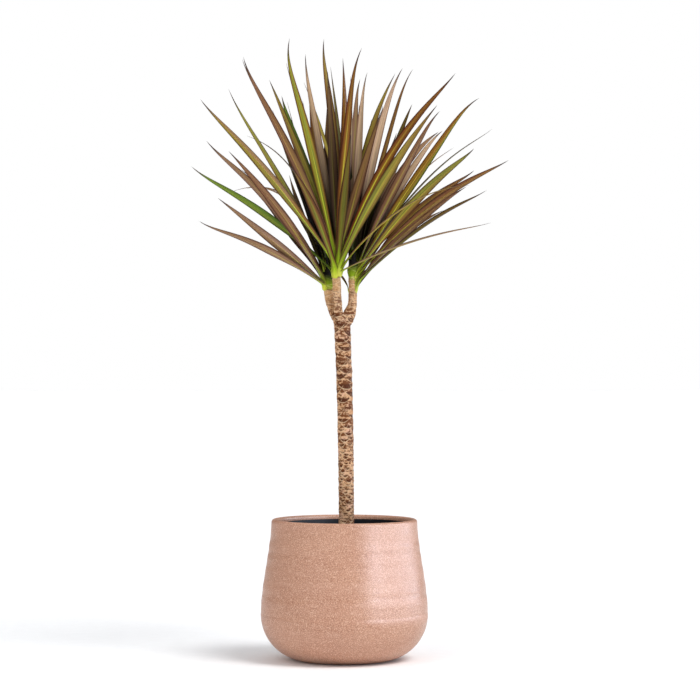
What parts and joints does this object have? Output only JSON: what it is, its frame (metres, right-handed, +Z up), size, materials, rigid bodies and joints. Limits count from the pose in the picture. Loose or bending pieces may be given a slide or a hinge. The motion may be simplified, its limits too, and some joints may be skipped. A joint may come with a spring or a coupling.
{
  "type": "potted dracaena marginata",
  "caption": "Standing indoor dragon tree: a bare cane forked into three leafy heads, in compost in a plastic grow pot inside a round-bellied stoneware planter.",
  "frame": {"origin": "middle of the planter's flat foot, on the surface that it stands on", "axes": "+Z up along the planter's axis and the cane, -Y towards the viewer of the picture, +X to the viewer's right"},
  "size_m": [0.5603, 0.5014, 1.0851],
  "materials": {
    "glazed_stoneware": "satin",
    "pot_plastic": "satin",
    "compost": "matte",
    "bark": "matte",
    "leaf": "satin"
  },
  "bodies": {
    "root": {"planter": "glazed_stoneware", "grow_pot": "pot_plastic", "soil": "compost", "cane": "bark", "head_left": "leaf", "head_front": "leaf", "head_right": "leaf"}
  },
  "joints": []
}
